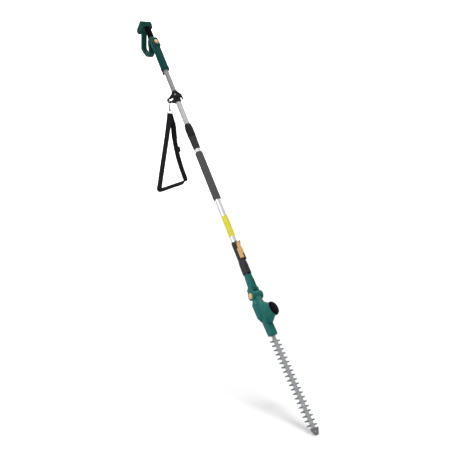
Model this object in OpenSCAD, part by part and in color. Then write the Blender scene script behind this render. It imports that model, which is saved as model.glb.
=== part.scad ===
// Cordless telescopic pole hedge trimmer, leaning as it is stored or propped, tip down.
// Every pole part is drawn in the pole's own frame: Z is the station, in millimetres from
// the blade's tip guard up the pole, X is the tool's top side and Y its left-right width.
// in_pole() leans that frame into the row frame, whose Z is plumb and whose origin is the
// middle of the foam grip. The shoulder strap hangs plumb from the clamp's eye.

/* [Stance] */
// Lean of the pole from plumb, towards -X
lean = 36.87; // [34:0.01:39]
// Bend of the trimming head from the pole's line in its straight notch
head_tilt = 2.8; // [0:0.1:5]

/* [Pole] */
// Outside diameter of the lower tube
lower_d = 30; // [29:0.5:31]
// Outside diameter of the middle tube
mid_d = 27; // [26.5:0.1:27.1]
// Outside diameter of the top tube
top_d = 24; // [23.5:0.1:24.1]
// Wall of every tube
tube_wall = 1.2; // [1:0.1:1.3]
// Sliding clearance between a tube and the one it runs in, on the radius
slide_gap = 0.3; // [0.2:0.05:0.4]
// Thickness of the foam sleeve over the lower tube
foam_wall = 3.2; // [2:0.2:4]

/* [Blades] */
// Distance from one tooth to the next
tooth_pitch = 19.75; // [18:0.25:20]
// Teeth along each edge
tooth_count = 20; // [18:1:20]
// Width over the tips of the teeth
blade_w = 52; // [48:1:56]
// Width of the bar and of the blades between the teeth
bar_w = 18; // [16:1:20]
// Thickness of each moving blade
blade_t = 2; // [1.6:0.1:2.2]

/* [Head] */
// Diameter of the black motor cap
cap_d = 60; // [54:1:62]
// Diameter of the pivot knuckle
knuckle_d = 44; // [40:1:46]
// Width of the pivot knuckle
knuckle_w = 46; // [42:1:50]

/* [Handle] */
// Diameter of the handle's barrel
barrel_d = 40; // [36:1:42]
// Diameter of the black rear grip
grip_d = 30; // [28:1:32]
// Width of the battery across the tool
battery_w = 62; // [56:1:70]

/* [Strap] */
// Width of the strap's webbing
web_w = 26; // [24:1:28]
// Thickness of the strap's webbing
web_t = 2.4; // [2:0.1:3]

/* [Hidden] */
// Stations along the pole
bar_z0 = 6;
first_tooth_z = 43.7;
nose_z0 = 444.6;
nose_z1 = 512;
hinge_x = 21;
hinge_z = 893;
crank_z = 521;
motor_z = 545;
body_z1 = 620;
pivot_z = 640;
neck_z1 = 742;
coupling_z1 = 901;
label_z0 = 929;
label_z1 = 1037;
foam_z0 = 1125;
foam_z1 = 1389;
nut_z0 = 1477;
lock_z0 = 1407;
nut_z1 = 1552;
clamp_z0 = 1684;
clamp_z1 = 1750;
barrel_z0 = 1883;
barrel_z1 = 2066;
grip_z0 = 2094;
grip_z1 = 2174;
dock_z1 = 2188;
battery_z1 = 2210;
grip_mid = (foam_z0 + foam_z1) / 2;

// Blade stack, in the head's frame: the bar lies over the two blades
bar_x0 = -4;
bar_t = 2.4;
blade_gap = 0.25;
upper_x0 = bar_x0 - blade_gap - blade_t;
lower_x0 = upper_x0 - blade_gap - blade_t;
bolt_x0 = lower_x0 - 1.2;
pivot_x = -6;
bolt_stations = [for (i = [0 : 5]) 52 + i * 75.6];
guard_hole_z = 17;
guard_hole_d = 7;

// Gear train from the motor's pinion to the crank gear
gear_module = 0.8;
pinion_teeth = 10;
crank_teeth = 50;
pinion_r = gear_module * pinion_teeth / 2;
crank_r = gear_module * crank_teeth / 2;
gear_x0 = 6;
gear_t = 7;
throw = 7;

// Turn of the motor cap's barrel about the pole, towards +Y
cap_roll = 22;

// Grip, trigger and battery in the rear handle
grip_x = -9;
guard_w = 24;
battery_x0 = -62;
battery_x1 = -2;

// Strap clamp's ear and its eye
ear_turn = 225;
eye_r = 7;
eye_in = 24;
eye_out = 35;
ear_t = 8;
ear_rim = 7;
clamp_mid = (clamp_z0 + clamp_z1) / 2;
bolt_x = 15.8;
bolt_z = clamp_mid + 5;

// Way from a pole-frame point to the row frame
function to_row(p) = [
    p[0] * cos(lean) - (p[2] - grip_mid) * sin(lean),
    p[1],
    p[0] * sin(lean) + (p[2] - grip_mid) * cos(lean)
];
// Direction of plumb inside the ear's plane: outward and down-pole shares
plumb_out = sqrt(0.5) * sin(lean);
plumb_down = cos(lean);
plumb_len = norm([plumb_out, plumb_down]);
rim_out = eye_out + (eye_r + ear_rim / 2) * plumb_out / plumb_len;
rim_down = (eye_r + ear_rim / 2) * plumb_down / plumb_len;
hang = to_row([rim_out * cos(ear_turn), rim_out * sin(ear_turn), clamp_mid - rim_down]);
hook_turn = atan2(cos(lean), 1);

// Strap: the wire ring, and the corners of the hanging loop in its own upright plane
ring_z = -41;
ring_h = 9.4;
strap_turn = 100;
loop_top = [0, -66];
loop_left = [-71, -419];
loop_right = [96, -390];
slider_at = 0.5;

GREEN = [0.20, 0.50, 0.48];
DARK_GREEN = [0.10, 0.33, 0.31];
GOLD = [0.93, 0.74, 0.42];
BLACK = [0.10, 0.10, 0.11];
STEEL = [0.62, 0.63, 0.65];
ALLOY = [0.80, 0.80, 0.82];

$fn = 48;

module in_pole() {
    rotate([0, -lean, 0]) translate([0, 0, -grip_mid]) children();
}

module in_head() {
    in_pole() translate([pivot_x, 0, pivot_z]) rotate([0, -head_tilt, 0])
        translate([-pivot_x, 0, -pivot_z]) children();
}

// Frame of what hangs from the ear: plumb, X along the rim that the hook goes round
module in_hang() {
    translate(hang) rotate([0, 0, hook_turn]) children();
}

module pipe(z0, z1, d, bore) {
    translate([0, 0, z0]) difference() {
        cylinder(h = z1 - z0, d = d);
        translate([0, 0, -1]) cylinder(h = z1 - z0 + 2, d = bore);
    }
}

module rod(z0, z1, d) {
    translate([0, 0, z0]) cylinder(h = z1 - z0, d = d);
}

// Body of revolution from [radius, station] points, with an optional bore
module turned(outline, bore = 0) {
    difference() {
        rotate_extrude() polygon(concat([[0, outline[0][1]]], outline,
            [[0, outline[len(outline) - 1][1]]]));
        if (bore > 0)
            translate([0, 0, outline[0][1] - 1])
                cylinder(h = outline[len(outline) - 1][1] - outline[0][1] + 2, d = bore);
    }
}

// Cylinder across the tool, along Y, from y0 to y1
module cross_rod(x, z, y0, y1, d) {
    translate([x, y0, z]) rotate([-90, 0, 0]) cylinder(h = y1 - y0, d = d);
}

// Cylinder through the tool's thickness, along X, from x0 to x1
module through_rod(x0, x1, y, z, d) {
    translate([x0, y, z]) rotate([0, 90, 0]) cylinder(h = x1 - x0, d = d);
}

// Block with its four long edges rounded, its length along Z
module round_bar(x0, x1, half_w, z0, z1, r) {
    translate([0, 0, z0]) linear_extrude(z1 - z0) {
        translate([x0 + r, -half_w]) square([x1 - x0 - 2 * r, 2 * half_w]);
        translate([x0, -half_w + r]) square([x1 - x0, 2 * half_w - 2 * r]);
        for (x = [x0 + r, x1 - r], y = [-half_w + r, half_w - r])
            translate([x, y]) circle(r);
    }
}

// Shape drawn in the X-Z plane and given a width along Y, centred on the tool's middle
module side_plate(w) {
    translate([0, w / 2, 0]) rotate([90, 0, 0]) linear_extrude(w) children();
}

// Band of constant width along a path of points, with round joints
module band(path, w) {
    for (p = path) translate(p) circle(d = w);
    for (i = [0 : len(path) - 2]) {
        run = path[i + 1] - path[i];
        translate(path[i]) rotate(atan2(run[1], run[0]))
            translate([0, -w / 2]) square([norm(run), w]);
    }
}

module half(side) {
    intersection() {
        children();
        translate([-300, side > 0 ? 0.02 : -200.02, 0]) cube([600, 200, 2400]);
    }
}

// ---------------------------------------------------------------- lower pole

module lower_tube() {
    color(ALLOY) in_pole() pipe(846, nut_z0 + 8, lower_d, lower_d - 2 * tube_wall);
}

module foam_grip() {
    r = lower_d / 2 + foam_wall;
    color("dimgray") in_pole() turned([[r - 2.5, foam_z0], [r, foam_z0 + 3],
        [r, foam_z1 - 3], [r - 2.5, foam_z1]], lower_d);
}

module caution_label() {
    color("yellow") in_pole() intersection() {
        pipe(label_z0, label_z1, lower_d + 0.3, lower_d);
        translate([-4, -40, label_z0]) cube([40, 80, label_z1 - label_z0]);
    }
}

// Fixed half of the twist lock: a screwed collar below, a thread core above
module lock_socket() {
    r = 18;
    color(BLACK) in_pole() difference() {
        union() {
            turned([[r - 2.4, lock_z0], [r - 1.2, lock_z0 + 3], [r + 0.6, nut_z0 - 6],
                [r + 0.9, nut_z0 - 0.6]], lower_d);
            pipe(nut_z0 - 2, nut_z0 + 26, 34, lower_d);
            through_rod(14, r + 2.2, 0, lock_z0 + 22, 9);
        }
        rod(lock_z0, nut_z0 + 30, lower_d);
        through_rod(10, r + 3, 0, lock_z0 + 22, 5);
    }
}

module lock_collet() {
    color("lightgray") in_pole() difference() {
        turned([[lower_d / 2 - 0.1, nut_z0 + 8.2], [lower_d / 2 - 0.1, nut_z0 + 26.2],
            [lower_d / 2 + 0.6, nut_z0 + 27], [lower_d / 2 + 0.6, nut_z1 - 26],
            [mid_d / 2 + 1.2, nut_z1 - 12]], mid_d + 2 * slide_gap);
        for (a = [0, 60, 120]) rotate(a)
            translate([-20, -0.8, nut_z0 + 36]) cube([40, 1.6, 80]);
    }
}

module lock_screw() {
    color(STEEL) in_pole() difference() {
        through_rod(lower_d / 2 + 0.2, 18.9, 0, lock_z0 + 22, 4.8);
        translate([18.1, -0.5, lock_z0 + 18]) cube([2, 1, 8]);
    }
}

// Moulded socket that takes the trimming head's spigot, clamped on the tube's end
module coupling_sleeve() {
    color(BLACK) in_pole() difference() {
        union() {
            turned([[19.6, neck_z1], [20, neck_z1 + 4], [19.4, 790], [16.8, 812], [17.2, 893],
                [16.2, coupling_z1]]);
            for (s = [-1, 1]) translate([8, s > 0 ? 9.5 : -12.5, hinge_z - 9])
                cube([15.4, 3, 15]);
            translate([12, 3, 806]) cube([9.6, 9, 30]);
        }
        rod(neck_z1 - 1, 842, 28.6);
        rod(841, coupling_z1 + 1, lower_d);
        cross_rod(hinge_x, hinge_z, -20, 20, 4.02);
    }
}

module contact_socket() {
    color("ivory") in_pole() difference() {
        rod(826, 842, 28.6);
        for (x = [-5, 5]) translate([x, 0, 825]) cylinder(h = 12, d = 4.8);
    }
}

// Curled cable that feeds the motor; it stretches as the pole is drawn out
module curly_lead() {
    color([0.15, 0.15, 0.16]) in_pole() rod(842, 1815, 13);
}

// Gold over-centre lever between the sleeve's two lugs; its hook end sits by the catch
module latch_lever() {
    color(GOLD) in_pole() difference() {
        union() {
            side_plate(18) {
                polygon([[17.8, 862], [22.6, 862], [23.2, hinge_z], [17.9, hinge_z - 5]]);
                translate([hinge_x, hinge_z]) circle(r = hinge_x - 17.9);
            }
            translate([12, -12, 838.4]) cube([10.4, 24, 24.6]);
            translate([12, -12, 816]) cube([10.4, 14.6, 23]);
        }
        rod(800, 864, 35.6);
        cross_rod(hinge_x, hinge_z, -20, 20, 4.1);
    }
}

module latch_pin() {
    color(STEEL) in_pole() cross_rod(hinge_x, hinge_z, -12.5, 12.5, 4);
}

// ---------------------------------------------------------------- twist nut

module lock_nut() {
    color(BLACK) in_pole() difference() {
        turned([[18.6, nut_z0], [19.1, nut_z0 + 3], [19.2, nut_z0 + 30], [17.9, nut_z1 - 10],
            [16.2, nut_z1 - 2.5], [14.4, nut_z1]]);
        rod(nut_z0 - 1, nut_z0 + 26.6, 34.6);
        rod(nut_z0 + 26, nut_z1 - 10, 32);
        rod(nut_z0, nut_z1 + 1, mid_d + 2 * slide_gap);
    }
}

// ---------------------------------------------------------------- middle pole

module mid_tube() {
    color(ALLOY) in_pole() pipe(1130, clamp_z0 + 34, mid_d, mid_d - 2 * tube_wall);
}

module mid_glide() {
    color("white") in_pole() pipe(1116, 1129.9, mid_d, 17);
}

// Clamp on the joint between the middle and the top tube, with the strap's eye
module strap_clamp() {
    color(BLACK) in_pole() difference() {
        union() {
            turned([[15.6, clamp_z0], [16.6, clamp_z0 + 2], [16.8, clamp_z1 - 5],
                [14.6, clamp_z1]]);
            rotate(ear_turn) side_plate(ear_t) {
                translate([eye_out, clamp_mid]) circle(r = eye_r + ear_rim);
                translate([14, clamp_mid - eye_r - ear_rim])
                    square([eye_out - 14, 2 * (eye_r + ear_rim)]);
                polygon([[14, clamp_mid - 27], [24, clamp_mid - 22], [34, clamp_mid - 14],
                    [34, clamp_mid + 14], [24, clamp_mid + 22], [14, clamp_mid + 27]]);
            }
            translate([0, -11, clamp_mid - 12]) cube([20, 25, 28]);
        }
        rod(clamp_z0 - 1, clamp_z0 + 34, mid_d);
        rod(clamp_z0 + 33, clamp_z1 + 1, top_d + 2 * slide_gap);
        rotate(ear_turn) side_plate(ear_t + 2) {
            translate([eye_in, clamp_mid - eye_r]) square([eye_out - eye_in, 2 * eye_r]);
            for (x = [eye_in, eye_out]) translate([x, clamp_mid]) circle(r = eye_r);
        }
        translate([0, -0.8, clamp_z0 + 34]) cube([30, 3.6, 60]);
        cross_rod(bolt_x, bolt_z, -30, 30, 5.02);
        cross_rod(bolt_x, bolt_z, -30, -10.9, 9);
    }
}

module clamp_bolt() {
    color(STEEL) in_pole() {
        cross_rod(bolt_x, bolt_z, -13, 16.2, 5);
        cross_rod(bolt_x, bolt_z, -14.4, -10.94, 8.4);
    }
}

// Quick-release lever of the clamp, on the right-hand end of its bolt
module clamp_lever() {
    color(BLACK) in_pole() difference() {
        translate([0, 19.6, 0]) rotate([90, 0, 0]) linear_extrude(5.3) {
            translate([bolt_x, bolt_z]) circle(d = 11);
            translate([bolt_x, bolt_z]) polygon([[-3, -3], [-0.6, -14], [0, -31], [6.6, -31],
                [6.4, -12], [3.6, -1]]);
        }
        cross_rod(bolt_x, bolt_z, 14, 16.8, 5.2);
    }
}

// ---------------------------------------------------------------- top pole and handle

module top_tube() {
    color(ALLOY) in_pole() pipe(1372, 1930, top_d, top_d - 2 * tube_wall);
}

module top_glide() {
    color("white") in_pole() pipe(1358, 1371.9, top_d, 15);
}

// Outside of the rear handle, shells together
module handle_form() {
    r = barrel_d / 2;
    turned([[r - 2.5, barrel_z0], [r + 1.2, barrel_z0 + 4], [r + 1.2, barrel_z0 + 16],
        [r, barrel_z0 + 22], [r - 0.5, barrel_z1 - 30], [r - 1.5, barrel_z1]]);
    side_plate(34) polygon([[-27, 2034], [16, 2034], [19, 2052], [16, 2084], [6, 2098],
        [-24, 2104], [-32, 2092]]);
    side_plate(12) translate([0, barrel_z0]) polygon([[-15, 17], [-22, 14], [-28.5, 5],
        [-30, -5], [-24, -5], [-17, 6]]);
    translate([grip_x, 0, 0]) rod(2080, grip_z1 + 10, grip_d - 6);
    side_plate(guard_w) polygon([[-22, 2086], [-38, 2100], [-66, 2061], [-78, 2066],
        [-88, 2090], [-89, 2117], [-50, 2168], [-50, 2186], [-68, 2178], [-110, 2122],
        [-107, 2082], [-90, 2050], [-60, 2039]]);
    round_bar(-68, 0, 30, grip_z1, dock_z1, 9);
}

// Hollow of the rear handle, shells together, with the screw bosses left standing
module handle_hollow() {
    rod(barrel_z0 - 1, 1931, top_d);
    difference() {
        rod(1930, 2050, barrel_d - 7);
        handle_bosses(7.5);
    }
    side_plate(22) polygon([[-22, 2044], [10, 2044], [12, 2078], [2, 2090], [-20, 2096]]);
    translate([grip_x, 0, 0]) rod(2080, dock_z1 - 9, grip_d - 12);
    side_plate(9.4) polygon([[-60, 2098], [-6, 2098], [-6, 2148], [-60, 2148]]);
    side_plate(11) polygon([[2, 2040], [40, 2040], [40, 2072], [2, 2072]]);
    translate([15.8, -12.9, 2036]) cube([20, 25.8, 40]);
    translate([-50, -17, dock_z1 - 7]) cube([36, 34, 8]);
}

module handle_bosses(d) {
    for (z = [1960, 2030], s = [-1, 1]) cross_rod(s * 11.5, z, -30, 30, d);
}

// Round-ended plan of the lock-off button, from x0 to x1
module through_slot(x0, x1, d) {
    for (e = [-7, 7]) through_rod(x0, x1, 0, 2056 + e, d);
    translate([x0, -d / 2, 2049]) cube([x1 - x0, d, 14]);
}

module handle_shell(side) {
    color(DARK_GREEN) in_pole() half(side) difference() {
        handle_form();
        handle_hollow();
        handle_bosses(3.2);
    }
}

module handle_left() { handle_shell(-1); }

module handle_right() { handle_shell(1); }

module grip_sleeve() {
    color(BLACK) in_pole() difference() {
        translate([grip_x, 0, 0]) turned([[grip_d / 2 - 1.6, grip_z0 + 11],
            [grip_d / 2, grip_z0 + 15], [grip_d / 2, grip_z1 - 4],
            [grip_d / 2 - 1, grip_z1 - 0.2]], grip_d - 6);
        side_plate(9.8) polygon([[-60, 2090], [-8, 2090], [-8, 2148.4], [-60, 2148.4]]);
    }
}

module handle_screws() {
    color(STEEL) in_pole() for (z = [1960, 2030], s = [-1, 1])
        cross_rod(s * 11.5, z, -11, 11, 3.1);
}

module control_board() {
    color("green") in_pole() translate([-8.4, -8, 1966]) cube([1.5, 16, 56]);
}

module power_switch() {
    color("dimgray") in_pole() translate([-16, -8, 2050]) cube([17.6, 16, 20]);
}

module battery_contacts() {
    color("ivory") in_pole() translate([-49.9, -16.9, dock_z1 - 6.9]) cube([35.8, 33.8, 6]);
}

module trigger() {
    color(BLACK) in_pole() side_plate(8.6)
        polygon([[-14, 2144], [-27, 2144], [-30, 2128], [-34, 2112], [-30, 2102], [-14, 2102]]);
}

module lock_off_button() {
    color(GOLD) in_pole() {
        intersection() {
            translate([-25, 0, 2056]) sphere(r = 50, $fn = 96);
            through_slot(19.2, 27, 25);
        }
        side_plate(10.2) polygon([[5, 2042], [19.4, 2044], [19.4, 2068], [5, 2070]]);
    }
}

// ---------------------------------------------------------------- battery

module battery_case() {
    color(DARK_GREEN) in_pole() difference() {
        round_bar(battery_x0, battery_x1, battery_w / 2, dock_z1 + 0.4, battery_z1, 8);
        round_bar(battery_x0 + 3, battery_x1 - 3, battery_w / 2 - 3, dock_z1 + 2,
            battery_z1 - 1.5, 1.5);
        translate([battery_x0 - 1, -9, dock_z1 + 5]) cube([4.4, 18, 10]);
    }
}

module battery_cells() {
    color("steelblue") in_pole() for (y = [-18.8, 0, 18.8])
        translate([battery_x0 + 5, y, dock_z1 + 11.25]) rotate([0, 90, 0])
            cylinder(h = 50, d = 18.2);
}

module battery_latch() {
    color(BLACK) in_pole() translate([battery_x0 - 2.4, -8.6, dock_z1 + 5.4])
        cube([5, 17.2, 9.2]);
}

// ---------------------------------------------------------------- neck

module neck_shell() {
    ear_t = 10.6;
    color(GREEN) in_pole() difference() {
        union() {
            round_bar(-15, 15, 18, 672, neck_z1 - 0.4, 9);
            for (s = [-1, 1]) {
                y0 = s > 0 ? knuckle_w / 2 - ear_t : -knuckle_w / 2;
                cross_rod(pivot_x, pivot_z, y0, y0 + ear_t, knuckle_d);
                translate([-19, y0, pivot_z]) cube([31, ear_t, 34]);
            }
            cross_rod(pivot_x, pivot_z, knuckle_w / 2 - 1, 31, knuckle_d - 3);
        }
        cross_rod(pivot_x, pivot_z, -30, 30, 10.04);
        cross_rod(pivot_x, pivot_z, -30, -knuckle_w / 2 + 4, 25.6);
        translate([-30, -knuckle_w / 2 + ear_t, pivot_z - 30])
            cube([60, knuckle_w - 2 * ear_t, 56]);
        rod(700, neck_z1, 20);
        for (z = [684 : 8 : 730], s = [-1, 1])
            translate([-10, s * 18, z]) rotate([0, 90, 0]) cylinder(h = 20, d = 2.4);
    }
}

// Spigot that plugs into the coupling's socket
module neck_spigot() {
    color(BLACK) in_pole() {
        rod(704, neck_z1 - 0.4, 20);
        rod(neck_z1 - 0.4, 822, 28);
    }
}

module contact_pins() {
    color("gold") in_pole() for (x = [-5, 5]) translate([x, 0, 822]) cylinder(h = 13, d = 4);
}

// Small black stop pin beside the knuckle
module knuckle_stop() {
    color(BLACK) in_pole() cross_rod(-8, 677, -22, -18.02, 5);
}

module pivot_bolt() {
    color(STEEL) in_pole() cross_rod(pivot_x, pivot_z, -18, 22.6, 10);
}

module pivot_button() {
    color(GOLD) in_pole() intersection() {
        cross_rod(pivot_x, pivot_z, -knuckle_w / 2 - 7, -knuckle_w / 2 + 1, 25);
        translate([pivot_x, -knuckle_w / 2 + 15, pivot_z]) sphere(r = 22, $fn = 64);
    }
}

// ---------------------------------------------------------------- trimming head

// Outside of the head, shells together
module head_form() {
    round_bar(-18, 13, 21, nose_z0, nose_z1 + 20, 8);
    round_bar(-21, 26, 31, nose_z1 + 4, body_z1 - 4, 13);
    rotate(cap_roll) through_rod(10, 50, 0, motor_z, cap_d + 3);
    side_plate(23.8) {
        translate([pivot_x, pivot_z]) circle(d = knuckle_d);
        polygon([[-18, body_z1 - 40], [12, body_z1 - 40], [11, pivot_z], [-23, pivot_z]]);
    }
}

module head_hollow() {
    round_bar(-13, 9, 17, nose_z0 + 3, nose_z1 + 22, 5);
    translate([-10.6, -bar_w / 2 - 1, nose_z0 - 1]) cube([9.6, bar_w + 2, 6]);
    round_bar(-14, 20, 24, nose_z1 - 12, motor_z + 26, 6);
    rotate(cap_roll) through_rod(18, 46, 0, motor_z, cap_d - 5);
    rotate(cap_roll) through_rod(40, 60, 0, motor_z, cap_d - 9);
    through_rod(17, 35, 0, motor_z, 32);
    round_bar(-10, 12, 10, motor_z + 20, body_z1 - 4.6, 4);
}

module head_shell(side) {
    color(GREEN) in_head() half(side) difference() {
        head_form();
        head_hollow();
        cross_rod(pivot_x, pivot_z, -30, 30, 10.1);
        for (z = [nose_z0 + 20, body_z1 - 14]) cross_rod(z < 500 ? -15.4 : -14, z, -60, 60, 3.2);
    }
}

module head_left() { head_shell(-1); }

module head_right() { head_shell(1); }

module head_screws() {
    color(STEEL) in_head() for (z = [nose_z0 + 20, body_z1 - 14])
        cross_rod(z < 500 ? -15.4 : -14, z, -14, 14, 3.1);
}

module gearbox_plate() {
    color(ALLOY) in_head() difference() {
        translate([14, -18, 506]) cube([4, 36, 60]);
        through_rod(10, 20, 0, motor_z, 12.4);
        through_rod(13, 19, 0, crank_z, 12);
    }
}

module motor() {
    color("silver") in_head() {
        through_rod(18, 34, 0, motor_z, 30);
        through_rod(34, 38, 0, motor_z, 12);
    }
}

module motor_cap() {
    r = cap_d / 2;
    color(BLACK) in_head() rotate(cap_roll) translate([0, 0, motor_z]) rotate([0, 90, 0])
        difference() {
        turned([[r, 50.1], [r, 57], [r - 1.6, 60], [r - 6, 62], [r - 13, 62.8], [6, 63]]);
        translate([0, 0, 49]) cylinder(h = 9, d = cap_d - 6);
    }
}

// Gear blank with square-cut teeth, its axis along X
module spur_gear(x0, t, y, z, teeth, bore, turn) {
    r = gear_module * teeth / 2;
    translate([x0, y, z]) rotate([0, 90, 0]) rotate(turn) difference() {
        linear_extrude(t) {
            circle(r - gear_module * 1.15);
            for (i = [0 : teeth - 1]) rotate(i * 360 / teeth) polygon([
                [r - gear_module * 1.6, -gear_module * 0.95], [r, -gear_module * 0.66],
                [r + gear_module * 0.75, -gear_module * 0.3],
                [r + gear_module * 0.75, gear_module * 0.3],
                [r, gear_module * 0.66], [r - gear_module * 1.6, gear_module * 0.95]]);
        }
        if (bore > 0) translate([0, 0, -1]) cylinder(h = t + 2, d = bore);
    }
}

module pinion() {
    color(STEEL) in_head() {
        spur_gear(gear_x0, gear_t, 0, motor_z, pinion_teeth, 0, 180 + 180 / pinion_teeth);
        through_rod(gear_x0 + gear_t, 17.9, 0, motor_z, 5);
    }
}

// Crank gear with its two opposed eccentrics, which drive the blades
module crank_gear() {
    color(STEEL) in_head() {
        spur_gear(gear_x0, gear_t, 0, crank_z, crank_teeth, 0, 0);
        through_rod(gear_x0 + gear_t, 17.8, 0, crank_z, 7.9);
        through_rod(2.4, gear_x0, 0, crank_z + throw, 20);
        through_rod(-1.2, 2.4, 0, crank_z - throw, 20);
    }
}

module crank_bearings() {
    color("silver") in_head() difference() {
        through_rod(14, 17.8, 0, crank_z, 12);
        through_rod(13, 19, 0, crank_z, 8);
    }
}

module blade_bar() {
    color("silver") in_head() difference() {
        union() {
            translate([bar_x0, -bar_w / 2, bar_z0 + 8]) cube([bar_t, bar_w, 470 - bar_z0 - 8]);
            through_rod(bar_x0, bar_x0 + bar_t, 0, bar_z0 + 9, bar_w);
        }
        for (z = bolt_stations) through_rod(bar_x0 - 1, bar_x0 + 4, 0, z, 5.02);
        through_rod(bar_x0 - 1, bar_x0 + 4, 0, guard_hole_z, guard_hole_d);
    }
}

// One blade: teeth on both edges, a slot for each bolt and a yoke at the crank's end
module blade(x0, tail_z) {
    root = 9;
    tip = 4.4;
    slot = 9.5;
    translate([x0, 0, 0]) rotate([90, 0, 90]) linear_extrude(blade_t) difference() {
        union() {
            translate([-bar_w / 2 + 1.5, first_tooth_z - 12])
                square([bar_w - 3, 500 - first_tooth_z]);
            translate([-14, 484]) square([28, tail_z - 484]);
            for (i = [0 : tooth_count - 1])
                translate([0, first_tooth_z + i * tooth_pitch]) polygon([
                    [-blade_w / 2, -tip / 2], [-bar_w / 2 - 1, -root / 2],
                    [bar_w / 2 + 1, -root / 2], [blade_w / 2, -tip / 2],
                    [blade_w / 2, tip / 2], [bar_w / 2 + 1, root / 2],
                    [-bar_w / 2 - 1, root / 2], [-blade_w / 2, tip / 2]]);
        }
        for (z = bolt_stations) {
            translate([-3.1, z - slot]) square([6.2, 2 * slot]);
            for (e = [-slot, slot]) translate([0, z + e]) circle(d = 6.2);
        }
        translate([0, crank_z - 3]) {
            for (y = [-2, 2]) translate([y, 0]) circle(d = 20);
            translate([-2, -10]) square([4, 20]);
        }
    }
}

module upper_blade() {
    color(STEEL) in_head() blade(upper_x0, 536);
}

module lower_blade() {
    color([0.5, 0.51, 0.53]) in_head() blade(lower_x0, 536);
}

module blade_bolts() {
    color("gainsboro") in_head() for (z = bolt_stations) {
        through_rod(bolt_x0 - 1.8, bar_x0 + bar_t + 1.4, 0, z, 5);
        through_rod(bar_x0 + bar_t, bar_x0 + bar_t + 2.2, 0, z, 8.5);
        translate([bolt_x0 - 3.2, 0, z]) rotate([0, 90, 0]) cylinder(h = 3, d = 9, $fn = 6);
    }
}

// Plate on the bar's end that keeps the teeth off the ground, with its hanging hole
module tip_guard() {
    color("gray") in_head() difference() {
        translate([bar_x0 + bar_t, 0, 0]) rotate([90, 0, 90]) linear_extrude(3) {
            translate([0, 14]) circle(d = 27);
            polygon([[13, 10], [20.5, 24], [19, 30], [-19, 30], [-20.5, 24], [-13, 10]]);
            translate([-16.5, 27]) circle(d = 8);
            translate([16.5, 27]) circle(d = 8);
        }
        through_rod(bar_x0, bar_x0 + bar_t + 4, 0, guard_hole_z, guard_hole_d);
    }
}

// ---------------------------------------------------------------- shoulder strap

// Wire hook that hangs round the rim of the clamp's eye, with its swivel stud
module snap_hook() {
    color(STEEL) in_hang() {
        translate([0, 0, -2]) rotate([90, 0, 90]) rotate_extrude(angle = 285)
            translate([11, 0]) circle(d = 3.6, $fn = 24);
        translate([0, 0, -30]) cylinder(h = 16, d = 7);
        translate([0, 0, -36]) cylinder(h = 7, d = 4);
    }
}

module hook_gate() {
    color(STEEL) in_hang() translate([0, 0, -2]) rotate([90, 0, 90]) rotate(289)
        rotate_extrude(angle = 62) translate([11, 0]) circle(d = 3, $fn = 24);
}

// Flat wire ring at the top of the webbing, with the swivel eye that turns on the stud
module strap_ring() {
    wire = 3.4;
    ring_w = web_w + 4;
    color("silver") in_hang() difference() {
        union() {
            translate([0, 0, -43]) cylinder(h = 12.6, d = 9);
            for (z = [ring_z, ring_z - ring_h]) translate([-ring_w / 2, 0, z])
                rotate([0, 90, 0]) cylinder(h = ring_w, d = wire);
            for (s = [-1, 1]) {
                translate([s * ring_w / 2, 0, ring_z - ring_h]) cylinder(h = ring_h, d = wire);
                for (z = [ring_z, ring_z - ring_h])
                    translate([s * ring_w / 2, 0, z]) sphere(d = wire);
            }
        }
        translate([0, 0, -37]) cylinder(h = 10, d = 4.2);
    }
}

// The hanging loop: a folded tab round the ring, two strands and the run across the bottom
module strap_web() {
    color(BLACK) {
        in_hang() difference() {
            translate([-web_w / 2, -5.4, ring_z - ring_h - 26])
                cube([web_w, 10.8, 31]);
            translate([-web_w, 0, ring_z - ring_h]) rotate([0, 90, 0])
                cylinder(h = 2 * web_w, d = 4.2);
        }
        translate(hang) rotate([0, 0, strap_turn]) side_plate(web_w)
            band([loop_top, loop_left, loop_right, loop_top], web_t);
    }
}

module strap_slider() {
    run = loop_right - loop_top;
    at = loop_top + slider_at * run;
    color("black") translate(hang) rotate([0, 0, strap_turn])
        translate([at[0], 0, at[1]]) rotate([0, -atan2(run[1], run[0]), 0])
        difference() {
            translate([-13, -16, -4.5]) cube([26, 32, 9]);
            translate([-30, -13.6, -1.8]) cube([60, 27.2, 3.6]);
        }
}

lower_tube();
foam_grip();
caution_label();
lock_socket();
lock_collet();
lock_screw();
coupling_sleeve();
contact_socket();
latch_pin();
curly_lead();
lock_nut();
latch_lever();
mid_tube();
mid_glide();
strap_clamp();
clamp_bolt();
clamp_lever();
top_tube();
top_glide();
handle_left();
handle_right();
grip_sleeve();
handle_screws();
control_board();
power_switch();
battery_contacts();
trigger();
lock_off_button();
battery_case();
battery_cells();
battery_latch();
neck_shell();
neck_spigot();
contact_pins();
knuckle_stop();
pivot_bolt();
pivot_button();
head_left();
head_right();
head_screws();
gearbox_plate();
motor();
motor_cap();
pinion();
crank_gear();
crank_bearings();
blade_bar();
upper_blade();
lower_blade();
blade_bolts();
tip_guard();
snap_hook();
hook_gate();
strap_ring();
strap_web();
strap_slider();
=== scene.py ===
# Cordless telescopic pole hedge trimmer: materials, moulded shells, strap, light and camera.
# Sections run in assembly order, from the blade's tip up the pole to the battery and strap.
from math import cos, pi, radians, sin

import bmesh
import bpy
from mathutils import Matrix, Vector


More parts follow.
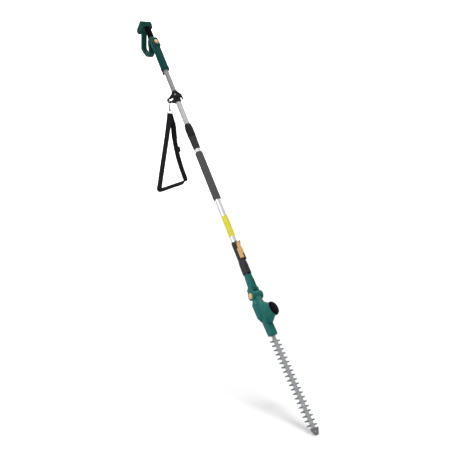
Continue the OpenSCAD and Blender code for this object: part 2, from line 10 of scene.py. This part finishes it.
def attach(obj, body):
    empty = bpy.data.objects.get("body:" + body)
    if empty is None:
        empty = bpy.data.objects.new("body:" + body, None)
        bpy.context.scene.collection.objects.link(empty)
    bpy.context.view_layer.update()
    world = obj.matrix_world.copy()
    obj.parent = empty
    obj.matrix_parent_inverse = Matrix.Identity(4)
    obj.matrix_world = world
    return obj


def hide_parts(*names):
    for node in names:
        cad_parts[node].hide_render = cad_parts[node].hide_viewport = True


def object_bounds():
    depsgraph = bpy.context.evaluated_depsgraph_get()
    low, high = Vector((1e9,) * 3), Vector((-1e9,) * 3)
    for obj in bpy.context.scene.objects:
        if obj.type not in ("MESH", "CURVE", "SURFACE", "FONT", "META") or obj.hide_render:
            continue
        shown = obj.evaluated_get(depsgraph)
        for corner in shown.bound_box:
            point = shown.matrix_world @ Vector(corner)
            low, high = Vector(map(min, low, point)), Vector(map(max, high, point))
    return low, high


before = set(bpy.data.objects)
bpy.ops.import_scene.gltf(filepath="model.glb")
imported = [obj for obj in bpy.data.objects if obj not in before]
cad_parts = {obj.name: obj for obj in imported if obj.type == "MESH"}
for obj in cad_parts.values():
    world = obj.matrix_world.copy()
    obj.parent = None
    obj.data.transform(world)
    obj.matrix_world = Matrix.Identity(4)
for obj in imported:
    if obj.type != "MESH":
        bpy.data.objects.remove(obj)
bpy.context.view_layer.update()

# ------------------------------------------------------------------ drawing frames
# Shapes are drawn in millimetres in the pole's own frame: Z is the station up the pole from
# the tip, X the tool's top side, Y its width. The head adds its small bend at the pivot.
LEAN = radians(36.87)
HEAD_BEND = radians(2.8)
GRIP_STATION = 1257
PIVOT = Vector((-6, 0, 640))
POLE = (Matrix.Scale(0.001, 4) @ Matrix.Rotation(-LEAN, 4, "Y")
        @ Matrix.Translation((0, 0, -GRIP_STATION)))
HEAD = (POLE @ Matrix.Translation(PIVOT) @ Matrix.Rotation(-HEAD_BEND, 4, "Y")
        @ Matrix.Translation(-PIVOT))


def turned(profile, sides=64, wave=None):
    """Body of revolution about Z from (radius, station) points; wave varies the radius."""
    verts, faces = [], []
    for r, z in profile:
        for i in range(sides):
            turn = 2 * pi * i / sides
            reach = r + (wave(turn, z) if wave else 0)
            verts.append((reach * cos(turn), reach * sin(turn), z))
    rows = len(profile)
    for j in range(rows - 1):
        for i in range(sides):
            k = (i + 1) % sides
            faces.append((j * sides + i, j * sides + k, (j + 1) * sides + k, (j + 1) * sides + i))
    faces.append(tuple(reversed(range(sides))))
    faces.append(tuple((rows - 1) * sides + i for i in range(sides)))
    return verts, faces


def loft(rings):
    """Closed skin through rings of the same number of points, capped at both ends."""
    count = len(rings[0])
    verts = [tuple(p) for ring in rings for p in ring]
    faces = [tuple(reversed(range(count)))]
    for j in range(len(rings) - 1):
        for i in range(count):
            k = (i + 1) % count
            faces.append((j * count + i, j * count + k, (j + 1) * count + k,
                          (j + 1) * count + i))
    faces.append(tuple((len(rings) - 1) * count + i for i in range(count)))
    return verts, faces


def slab(outline, y0, y1):
    """Outline of (x, z) points given a width from y0 to y1."""
    return loft([[(x, y, z) for x, z in outline] for y in (y1, y0)])


def block(low, high):
    """Box from its low corner to its high corner."""
    (x0, y0, z0), (x1, y1, z1) = low, high
    return slab([(x0, z0), (x1, z0), (x1, z1), (x0, z1)], y0, y1)


def ball(centre, radii, sides=32):
    """Ellipsoid about a centre."""
    steps = sides // 2
    profile = [(sin(pi * j / steps) + 1e-4, -cos(pi * j / steps)) for j in range(steps + 1)]
    verts, faces = turned(profile, sides)
    return [tuple(c + r * v for c, r, v in zip(centre, radii, p)) for p in verts], faces


def bar(start, end, r0, r1=None, sides=24):
    """Round bar between two points, with its ends' radii."""
    start, end = Vector(start), Vector(end)
    turn = (end - start).to_track_quat("Z", "Y")
    verts, faces = turned([(r0, 0), (r0 if r1 is None else r1, (end - start).length)], sides)
    return [tuple(start + turn @ Vector(p)) for p in verts], faces


def rounded_bar(sections, power, points=48):
    """Bar up Z through (station, half depth, half width, x offset) superellipse sections."""
    rings = []
    for z, half_x, half_y, shift in sections:
        ring = []
        for i in range(points):
            turn = 2 * pi * i / points
            c, s = cos(turn), sin(turn)
            ring.append((shift + half_x * abs(c) ** (2 / power) * (1 if c > 0 else -1),
                         half_y * abs(s) ** (2 / power) * (1 if s > 0 else -1), z))
        rings.append(ring)
    return loft(rings)


def capsules(path, width, thick):
    """Round-edged bars along an X-Z path, width across Y and thick in the path's plane."""
    shapes = []
    for (xa, za), (xb, zb) in zip(path, path[1:]):
        for y in (-width / 2 + thick / 2, 0, width / 2 - thick / 2):
            shapes.append(bar((xa, y, za), (xb, y, zb), thick / 2))
            shapes.append(ball((xb, y, zb), [thick / 2] * 3, 20))
    return shapes


def joined(shapes):
    """Several shapes as one list of vertices and faces."""
    verts, faces = [], []
    for some_verts, some_faces in shapes:
        base = len(verts)
        verts += some_verts
        faces += [tuple(base + i for i in f) for f in some_faces]
    return verts, faces


def make(name, shape, body, material, matrix=POLE, stands_for=(), crease=35, bevel=0):
    """Add a piece to the scene, riding on a body of the frame."""
    mesh = bpy.data.meshes.new(name)
    mesh.from_pydata(shape[0], [], shape[1])
    bm = bmesh.new()
    bm.from_mesh(mesh)
    bmesh.ops.recalc_face_normals(bm, faces=bm.faces)
    bm.to_mesh(mesh)
    bm.free()
    mesh.transform(matrix)
    piece = bpy.data.objects.new(name, mesh)
    bpy.context.scene.collection.objects.link(piece)
    mesh.materials.append(material)
    if bevel:
        rounding = piece.modifiers.new("edges", "BEVEL")
        rounding.width = bevel / 1000
        rounding.segments = 3
        rounding.angle_limit = radians(30)
    mesh.shade_smooth()
    mesh.set_sharp_from_angle(angle=radians(crease))
    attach(piece, body)
    if stands_for:
        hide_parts(*stands_for)
    return piece


def apply_modifiers(piece):
    """Bake a piece's modifiers into its mesh."""
    solid = bpy.data.meshes.new_from_object(
        piece.evaluated_get(bpy.context.evaluated_depsgraph_get()))
    piece.modifiers.clear()
    piece.data = solid


def moulded(name, shapes, body, material, grain, rounds, matrix=POLE, stands_for=(),
            cuts=()):
    """One moulded skin over overlapping shapes, with rounded inner corners and then cuts."""
    piece = make(name, joined(shapes), body, material, Matrix.Identity(4), stands_for)
    skin = piece.modifiers.new("skin", "REMESH")
    skin.mode = "VOXEL"
    skin.voxel_size = grain
    soften = piece.modifiers.new("soften", "SMOOTH")
    soften.factor = 0.5
    soften.iterations = rounds
    apply_modifiers(piece)
    if cuts:
        verts, faces = joined(cuts)
        knife = bpy.data.objects.new("knife", bpy.data.meshes.new("knife"))
        knife.data.from_pydata(verts, [], faces)
        bpy.context.scene.collection.objects.link(knife)
        cut = piece.modifiers.new("cut", "BOOLEAN")
        cut.object = knife
        cut.operation = "DIFFERENCE"
        apply_modifiers(piece)
        bpy.data.objects.remove(knife)
    solid = piece.data
    solid.transform(matrix)
    solid.materials.clear()
    solid.materials.append(material)
    solid.shade_smooth()
    solid.set_sharp_from_angle(angle=radians(50))


# ------------------------------------------------------------------ shader shorthand
class Signal:
    """Wraps a shader socket, so that shader maths reads as ordinary arithmetic."""

    def __init__(self, nodes, socket):
        self.nodes, self.socket = nodes, socket

    def node(self, kind, output=0, settings=None, **inputs):
        """Add any other node fed from sockets or numbers."""
        made = self.nodes.new(kind)
        for key, value in (settings or {}).items():
            setattr(made, key, value)
        for key, value in inputs.items():
            socket = made.inputs[int(key[1:])] if key[1:].isdigit() else made.inputs[key]
            if isinstance(value, Signal):
                made.id_data.links.new(value.socket, socket)
            else:
                socket.default_value = value
        return Signal(self.nodes, made.outputs[output])

    def maths(self, operation, other):
        return self.node("ShaderNodeMath", settings={"operation": operation},
                         _0=self, _1=other)

    def __add__(self, other):
        return self.maths("ADD", other)

    def __mul__(self, other):
        return self.maths("MULTIPLY", other)

    __radd__ = __add__
    __rmul__ = __mul__

    def tint(self, low, high):
        """Colour that runs from low to high as this signal goes from 0 to 1."""
        mix = self.node("ShaderNodeMix", 2, {"data_type": "RGBA"}, _0=self)
        mix.socket.node.inputs[6].default_value = (*low, 1)
        mix.socket.node.inputs[7].default_value = (*high, 1)
        return mix


def finish(name, colour, roughness, metallic=0.0, grain=0.0, grain_size=0.0006, mottle=0.06,
           coat=0.0, shine=0.3):
    """Plain finish: a slightly mottled colour, its roughness and a fine surface grain."""
    material = bpy.data.materials.new(name)
    material.use_nodes = True
    nodes = material.node_tree.nodes
    shader = nodes["Principled BSDF"]
    shader.inputs["Metallic"].default_value = metallic
    shader.inputs["Coat Weight"].default_value = coat
    shader.inputs["Specular IOR Level"].default_value = shine
    place = Signal(nodes, nodes.new("ShaderNodeTexCoord").outputs["Object"])
    patches = place.node("ShaderNodeTexNoise", Vector=place, Scale=40.0, Detail=3.0)
    dark = tuple(c * (1 - mottle) for c in colour)
    light = tuple(min(1, c * (1 + mottle)) for c in colour)
    material.node_tree.links.new(patches.tint(dark, light).socket, shader.inputs["Base Color"])
    uneven = patches * 0.12 + (roughness - 0.06)
    material.node_tree.links.new(uneven.socket, shader.inputs["Roughness"])
    if grain:
        fine = place.node("ShaderNodeTexNoise", Vector=place, Scale=1 / grain_size, Detail=2.0)
        bump = place.node("ShaderNodeBump", Strength=grain, Distance=0.0003, Height=fine)
        material.node_tree.links.new(bump.socket, shader.inputs["Normal"])
    return material


def dress(material, *nodes):
    """Give CAD parts a finish."""
    for name in nodes:
        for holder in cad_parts[name].material_slots:
            holder.material = material


# ------------------------------------------------------------------ blade and tip
# The bar lies over two toothed blades that cross each other, held by shouldered bolts. A
# grey plastic guard ends the bar, with a hole to hang the tool by.
bar_steel = finish("bar_steel", (0.52, 0.53, 0.56), 0.34, metallic=0.9, mottle=0.05)
tooth_steel = finish("tooth_steel", (0.30, 0.31, 0.33), 0.40, metallic=0.85, mottle=0.10)
bolt_steel = finish("bolt_steel", (0.62, 0.62, 0.63), 0.30, metallic=1.0)
guard_grey = finish("guard_grey", (0.13, 0.13, 0.135), 0.55, grain=0.3)
dress(bar_steel, "blade_bar")
dress(tooth_steel, "upper_blade", "lower_blade")
dress(bolt_steel, "blade_bolts")
dress(guard_grey, "tip_guard")

# ------------------------------------------------------------------ trimming head
# Two green shells screwed together along the middle: a nose round the blades' tails, a
# housing with a lobe each side, a collar under the black motor cap and the pivot knuckle.
green = finish("green", (0.008, 0.118, 0.105), 0.42, grain=0.25, mottle=0.06, shine=0.18)
KNUCKLE_R = 22
MOTOR_Z = 545
CAP_ROLL = radians(22)
CAP_R = 30
CAP_SEAT = 50
out = Vector((cos(CAP_ROLL), sin(CAP_ROLL), 0))
middle = Vector((0, 0, MOTOR_Z))
shell = [rounded_bar([(444.6, 12, 18, -2), (448, 15, 20.5, -2), (525, 15, 21, -2)], 4)]
for side in (-1, 1):
    shell += [bar((-7, side * 15, 516), (-7, side * 21.5, 538), 9, 13.5),
              bar((-7, side * 21.5, 536), (-6, side * 22, 592), 13.5, 13),
              ball((-6, side * 22, 592), (13, 13, 16)), ball((-7, side * 21.5, 538), [13.5] * 3),
              bar((-6, side * 21, 592), (-5, side * 10, 628), 13, 9)]
shell += [rounded_bar([(501, 11, 17, 3), (506, 16, 21, 4), (568, 16.5, 22, 4)], 8),
          ball((6, 0, 564), (22, 24, 56)), bar((8, 0, 570), (4, 0, 626), 19, 14),
          bar(middle + out * 30, middle + out * (CAP_SEAT + 4), 31, 32.5, 48),
          ball(middle + out * 22 + Vector((0, 0, 2)), (26, 28, 44)),
          bar(middle + out * 36 + Vector((0, 0, -14)), middle + Vector((12, 3, -44)), 19, 12),
          bar((PIVOT.x, -11.9, PIVOT.z), (PIVOT.x, 11.9, PIVOT.z), KNUCKLE_R, sides=64)]
vents = [block((14, y0, z), (44, y1, z + 2.6))
         for y0, y1, z in ((-6, 3, 534), (-8, -1, 527), (4, 9, 517))]
nose_grooves = [block((-13, -24, z), (4, -20.1, z + 2.4)) for z in range(452, 500, 7)]
moulded("head_shell", shell, "head", green, 0.9, 4, HEAD,
        ("head_left", "head_right"), vents + nose_grooves)

# Black cap over the end of the motor
cap_black = finish("cap_black", (0.004, 0.004, 0.006), 0.5, grain=0.15, shine=0.01)
rim = [(0.5, CAP_SEAT), (CAP_R, CAP_SEAT), (CAP_R, 57), (CAP_R - 0.8, 59), (CAP_R - 2.6, 60.6),
       (CAP_R - 6, 61.8), (CAP_R - 13, 62.6), (0.5, 63)]
spin_cap = (Matrix.Translation(middle) @ Matrix.Rotation(CAP_ROLL, 4, "Z")
            @ Matrix.Rotation(pi / 2, 4, "Y"))
make("motor_lid", turned(rim, 72), "head", cap_black, HEAD @ spin_cap,
     ("motor_cap",), crease=40)

# ------------------------------------------------------------------ neck
# Green neck: two ears round the head's knuckle, grooves across its top face, and the gold
# button on the left ear that frees the tilt.
neck = []
for y0, y1 in ((-23, -12.1), (12.1, 23)):
    inset = 1.5 if y1 > 0 else -1.5
    neck += [bar((PIVOT.x, y0, PIVOT.z), (PIVOT.x, y1, PIVOT.z), KNUCKLE_R, sides=64),
             block((-19, y0, 642), (11, y1 - inset, 674))]
neck += [bar((PIVOT.x, 20, PIVOT.z), (PIVOT.x, 31, PIVOT.z), 21.5, 20.5, 64),
         rounded_bar([(672, 15, 20.5, -2), (682, 15.5, 18, -1), (700, 15, 17.5, 0),
                      (722, 14, 16.3, 0), (741, 12.6, 14.8, 0)], 4),
         block((-14, -13, 664.5), (9, 13, 676))]
neck_grooves = [block((12.6, -3, z), (20, 13.5, z + 3.4)) for z in range(685, 734, 8)]
moulded("neck_skin", neck, "neck", green, 0.8, 3, stands_for=("neck_shell",),
        cuts=neck_grooves)
gold = finish("gold", (0.66, 0.40, 0.155), 0.36, metallic=0.1, mottle=0.05, coat=0.15)
dress(gold, "pivot_button", "latch_lever")
black = finish("black_plastic", (0.007, 0.0065, 0.009), 0.45, grain=0.3, shine=0.14)
steel = finish("steel", (0.50, 0.51, 0.53), 0.30, metallic=1.0)
dress(black, "neck_spigot", "knuckle_stop", "trigger", "battery_latch")
dress(steel, "pivot_bolt", "head_screws", "pinion", "crank_gear", "crank_bearings", "motor",
      "gearbox_plate", "handle_screws", "lock_screw", "latch_pin", "clamp_bolt")

# ------------------------------------------------------------------ coupling and pole
# Black moulded socket for the neck, then the three bare tubes, with the yellow safety label
# and the foam front grip on the lower one and the strap's clamp on the middle one.
collar_black = finish("collar_black", (0.014, 0.0135, 0.017), 0.42, grain=0.3, shine=0.3)
dress(black, "strap_clamp", "clamp_lever")
dress(collar_black, "coupling_sleeve", "lock_socket")
dress(finish("lower_alloy", (0.80, 0.80, 0.82), 0.30, metallic=0.8, mottle=0.02), "lower_tube")
dress(finish("mid_alloy", (0.49, 0.49, 0.50), 0.33, metallic=0.6, mottle=0.03), "mid_tube")
dress(finish("top_alloy", (0.26, 0.26, 0.27), 0.35, metallic=0.5, mottle=0.04), "top_tube")
dress(finish("label", (0.64, 0.58, 0.050), 0.5, mottle=0.12), "caution_label")
dress(finish("foam", (0.065, 0.065, 0.068), 0.85, grain=0.8, grain_size=0.0012, mottle=0.12),
      "foam_grip")
pale = finish("pale_plastic", (0.60, 0.58, 0.52), 0.4)
dress(pale, "contact_socket", "battery_contacts", "lock_collet", "mid_glide", "top_glide")
dress(finish("brass", (0.75, 0.52, 0.22), 0.3, metallic=1.0), "contact_pins")

# ------------------------------------------------------------------ twist nut
# Barrel-shaped nut of the twist lock, fluted for the hand.
FLUTES = 20


def flute(turn, z):
    if 1484 < z < 1536:
        return 0.45 * cos(FLUTES * turn)
    return 0.0


nut = [(13.9, 1552), (13.9, 1478), (17.6, 1477.2), (18.7, 1479)]
nut += [(19.1 - 2.6 * max(0, (z - 1512) / 36) ** 2, z) for z in range(1483, 1548, 4)]
nut += [(15.2, 1550.6), (13.9, 1552)]
make("nut_skin", turned(nut, 160, flute), "twist_nut", black,
     stands_for=("lock_nut",), crease=50)

# ------------------------------------------------------------------ rear handle
# Dark green shells: a round barrel, the shoulder of the lock-off button, the guard that
# loops under the fingers and the dock that the battery slides on to.
dark_green = finish("dark_green", (0.001, 0.044, 0.038), 0.44, grain=0.25, mottle=0.06,
                    shine=0.08)
grip_black = finish("grip_black", (0.0015, 0.0015, 0.003), 0.6, grain=0.5, shine=0.03)
barrel = [(17.5, 1883.4), (20.8, 1886), (21.3, 1892), (21.0, 1899), (20, 1905), (19.6, 2030),
          (18.5, 2066)]
body = [turned(barrel, 64),
        slab([(-13, 2040), (-8, 2032), (14, 2028), (21, 2031), (20.5, 2052), (16, 2084), (6, 2097),
              (-13, 2098)], -16, 16),
        slab([(-26, 2082), (-8, 2066), (-8, 2110), (-30, 2102)], -12, 12),
        bar((-9, 0, 2084), (-9, 0, 2184), 11.6)]
guard_out = [(-46, 2180), (-64, 2171), (-106, 2119), (-108, 2108), (-101, 2078), (-91, 2051),
             (-77, 2036), (-62, 2032), (-48, 2037), (-35, 2057), (-25.5, 2080), (-18, 2088)]
guard_in = [(-32, 2100), (-40, 2086), (-50, 2064), (-58, 2051), (-68, 2049), (-80, 2060),
            (-89, 2084), (-94, 2108), (-90, 2116), (-54, 2159), (-40, 2172)]
body += [slab(guard_out + guard_in, -13, 13),
         slab([(-67, 2188), (-66, 2178), (-59, 2171), (-3, 2172), (-2, 2188)], -29.5, 29.5)]
body += capsules([(-18, 1897), (-24, 1888), (-26.5, 1881)], 11, 6)
moulded("handle_skin", body, "top_pole", dark_green, 1.0, 3,
        stands_for=("handle_left", "handle_right"))
dress(grip_black, "grip_sleeve")

# Battery case, hollow underneath with a slot for its catch, and the gold lock-off button
case = [slab([(-66, 2189), (-65, 2192), (-53, 2202), (-7, 2211), (-2, 2208), (-1, 2189)], -31, 31)]
moulded("battery_skin", case, "battery", dark_green, 0.8, 4,
        stands_for=("battery_case",),
        cuts=[block((-80, -9, 2192), (-60, 9, 2203)), block((-59, -27, 2180), (-6, 27, 2202))])
make("lock_off_skin", ball((14, 0, 2055), (13.2, 13, 15.5), 48), "lock_off", gold,
     stands_for=("lock_off_button",))
dress(finish("cells", (0.05, 0.12, 0.28), 0.35), "battery_cells")
dress(finish("board", (0.01, 0.10, 0.03), 0.5), "control_board")
dress(finish("switch", (0.03, 0.03, 0.032), 0.5), "power_switch")
dress(finish("cable", (0.01, 0.01, 0.01), 0.6), "curly_lead")

# ------------------------------------------------------------------ strap
# Wire hook on the clamp's eye, chrome ring, and one loop of black webbing that hangs
# plumb, twisting from the ring's line to the loop's own plane, with a slider and a clip.
chrome = finish("chrome", (0.30, 0.30, 0.32), 0.22, metallic=0.9, mottle=0.0)
dress(chrome, "snap_hook", "hook_gate", "strap_ring")
web_black = finish("webbing", (0.010, 0.010, 0.012), 0.8, grain=0.9, grain_size=0.0015,
                   shine=0.1)
dress(black, "strap_slider")

# The hook sits on the rim of the clamp's eye, and the loop's plane stands plumb below it
EYE_RIM = 39.914
CLAMP_STATION = 1717
hook_seat = Vector((-0.7071 * EYE_RIM, -0.7071 * EYE_RIM, CLAMP_STATION - 9.268))
HANG = Matrix.Translation(POLE @ hook_seat) @ Matrix.Scale(0.001, 4)
LOOP_TURN = radians(100)
RING_TURN = radians(38.66)
WEB_W, WEB_T = 26, 2.2


def webbing(path, thick=WEB_T, width=WEB_W):
    """Flat band through (across, height, twist, roll) points of the hanging loop's plane."""
    along = Vector((cos(LOOP_TURN), sin(LOOP_TURN), 0))
    rings = []
    for i, (across, height, twist, roll) in enumerate(path):
        here = along * across + Vector((0, 0, height))
        back, front = path[max(i - 1, 0)], path[min(i + 1, len(path) - 1)]
        run = (along * (front[0] - back[0]) + Vector((0, 0, front[1] - back[1]))).normalized()
        wide = Vector((cos(twist), sin(twist), 0))
        wide = (wide - run * wide.dot(run)).normalized()
        wide = wide * cos(roll) + run.cross(wide) * sin(roll)
        deep = run.cross(wide)
        rings.append([here + wide * (a * width / 2) + deep * (b * thick / 2)
                      for a, b in ((-1, -1), (-0.94, -1), (0.94, -1), (1, -1),
                                   (1, 1), (0.94, 1), (-0.94, 1), (-1, 1))])
    return loft(rings)


def eased(corners, steps=5):
    """Smooth curve through (across, height, twist, roll) corners."""
    points = []
    for i in range(len(corners) - 1):
        before, a, b, after = (Vector(corners[max(0, min(len(corners) - 1, i + k))])
                               for k in (-1, 0, 1, 2))
        for j in range(steps):
            t = j / steps
            points.append(tuple(0.5 * (2 * a + (b - before) * t
                                       + (2 * before - 5 * a + 4 * b - after) * t * t
                                       + (3 * a - before - 3 * b + after) * t ** 3)))
    return points + [tuple(corners[-1])]


TURN = radians(30)
SLOPE = radians(-60)
loop = eased([(-0.5, -53, RING_TURN, 0), (-4, -80, RING_TURN, 0), (-19, -160, TURN, 0),
              (-38, -250, TURN, 0), (-57, -340, TURN, 0), (-69, -400, TURN, 0),
              (-72, -416, TURN, SLOPE * 0.3), (-66, -424, TURN, SLOPE * 0.8),
              (-50, -423, TURN, SLOPE), (10, -411, TURN, SLOPE), (80, -397, TURN, SLOPE),
              (93, -393, TURN, SLOPE * 0.7), (99, -386, TURN, SLOPE * 0.3),
              (97, -376, TURN, 0), (88, -356, TURN, 0), (76, -330, TURN, 0),
              (62, -296, TURN, 0), (50, -262, TURN, 0), (40, -226, TURN, 0),
              (33, -197, TURN, 0), (27, -165, TURN, 0), (23, -125, RING_TURN, 0),
              (17, -97, RING_TURN, 0), (8, -72, RING_TURN, 0), (2, -56, RING_TURN, 0)])
strap = make("strap_webbing", webbing(loop), "strap", web_black, HANG,
             ("strap_web",), crease=60)
tab = eased([(21, -110, RING_TURN, 0), (24, -128, RING_TURN, 0), (26, -150, TURN, 0),
             (30, -178, TURN, 0)], 3)
make("strap_tab", webbing(tab, 7, 27), "strap", web_black, HANG, bevel=0.8)
clip = webbing([(19.5, -100, RING_TURN, 0), (21, -107, RING_TURN, 0)], 4, 30)
make("strap_clip", clip, "strap", chrome, HANG, bevel=0.6)

# ------------------------------------------------------------------ floor, light and camera
# Pale seamless floor just under the tip, a wide soft sun overhead, a square light in front
# and a plain bright surround.
FLOOR_GAP = 0.0002
FLOOR_HALF = 30
floor_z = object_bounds()[0][2] - FLOOR_GAP
floor_mesh = bpy.data.meshes.new("floor")
floor_mesh.from_pydata([(-FLOOR_HALF, -FLOOR_HALF, floor_z), (FLOOR_HALF, -FLOOR_HALF, floor_z),
                        (FLOOR_HALF, FLOOR_HALF, floor_z), (-FLOOR_HALF, FLOOR_HALF, floor_z)],
                       [], [(0, 1, 2, 3)])
floor = bpy.data.objects.new("floor", floor_mesh)
bpy.context.scene.collection.objects.link(floor)
paper = finish("paper", (0.72, 0.72, 0.72), 0.9, mottle=0.0)
floor_mesh.materials.append(paper)

# White backdrop far behind the tool, square to the view
backdrop = bpy.data.meshes.new("backdrop")
white = finish("white", (0.9, 0.9, 0.9), 0.9, mottle=0.0)
glow = white.node_tree.nodes["Principled BSDF"].inputs
glow["Emission Color"].default_value = (1, 1, 1, 1)
glow["Emission Strength"].default_value = 1.0
far, wing = Vector((-6.5, 4.6, 0)), Vector((0.5754, 0.8179, 0)) * 14
low, high = Vector((0, 0, floor_z)), Vector((0, 0, 12))
backdrop.from_pydata([far - wing + low, far + wing + low, far + wing + high, far - wing + high],
                     [], [(0, 1, 2, 3)])
backdrop.materials.append(white)
screen = bpy.data.objects.new("backdrop", backdrop)
bpy.context.scene.collection.objects.link(screen)

SURROUND = 0.50
world = bpy.data.worlds.new("studio")
bpy.context.scene.world = world
world.use_nodes = True
world.node_tree.nodes["Background"].inputs["Color"].default_value = (1, 1, 1, 1)
world.node_tree.nodes["Background"].inputs["Strength"].default_value = SURROUND

sky = bpy.data.lights.new("sky", "SUN")
sky.energy = 1.9
sky.angle = radians(19)
sky_panel = bpy.data.objects.new("sky", sky)
sky_panel.rotation_euler = (radians(3), 0, 0)
bpy.context.scene.collection.objects.link(sky_panel)

front = bpy.data.lights.new("front", "AREA")
front.size = 2.0
front.energy = 60
front_panel = bpy.data.objects.new("front", front)
front_panel.location = (0.8, -4.2, 1.8)
front_panel.rotation_euler = (-front_panel.location).to_track_quat("-Z", "Y").to_euler()
bpy.context.scene.collection.objects.link(front_panel)

CAMERA_AT = Vector((2.876, -1.910, 0.245))
AZIMUTH, ELEVATION = radians(54.87), radians(8.06)
FOCAL_PX, IMAGE_PX = 743, 456
sight = Vector((sin(AZIMUTH) * cos(ELEVATION), -cos(AZIMUTH) * cos(ELEVATION),
                sin(ELEVATION)))
lens = bpy.data.cameras.new("camera")
lens.sensor_width = 36
lens.lens = 36 * FOCAL_PX / IMAGE_PX
camera = bpy.data.objects.new("camera", lens)
camera.location = CAMERA_AT
camera.rotation_euler = sight.to_track_quat("Z", "Y").to_euler()
bpy.context.scene.collection.objects.link(camera)
bpy.context.scene.camera = camera
bpy.context.scene.view_settings.view_transform = "Standard"
